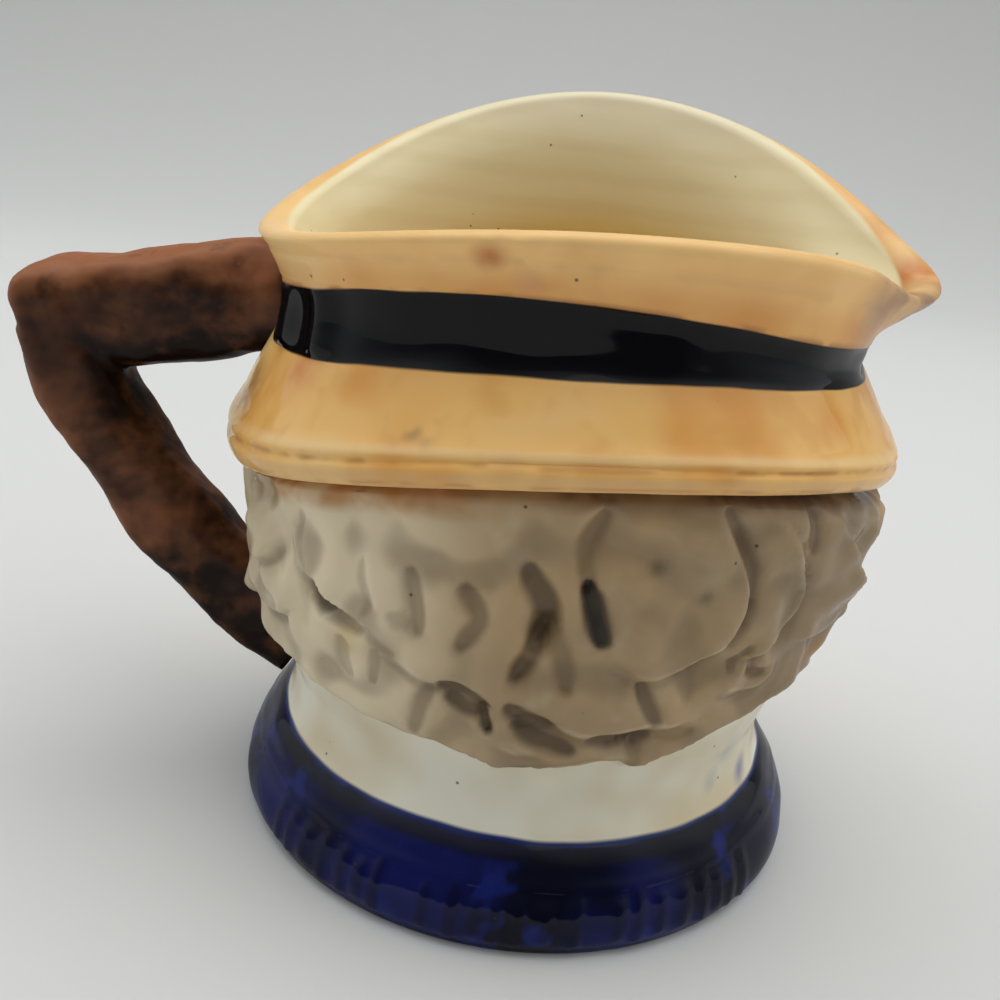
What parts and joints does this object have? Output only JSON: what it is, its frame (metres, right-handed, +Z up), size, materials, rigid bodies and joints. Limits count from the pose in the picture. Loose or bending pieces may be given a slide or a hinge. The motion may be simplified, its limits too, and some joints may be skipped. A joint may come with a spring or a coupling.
{
  "type": "toby jug",
  "caption": "Small glazed jug in the form of a hatted head, with a pulled spout, a branch handle and a blue foot ring.",
  "frame": {"origin": "centre of the flat underside", "axes": "+X towards the spout, -X towards the handle, +Y towards the face, +Z up"},
  "size_m": [0.1003, 0.073, 0.0816],
  "materials": {
    "glaze": "glossy clear glaze over underglaze painting in tan, black, grey, cream and cobalt blue"
  },
  "bodies": {
    "root": {"jug": "glaze"}
  },
  "joints": []
}
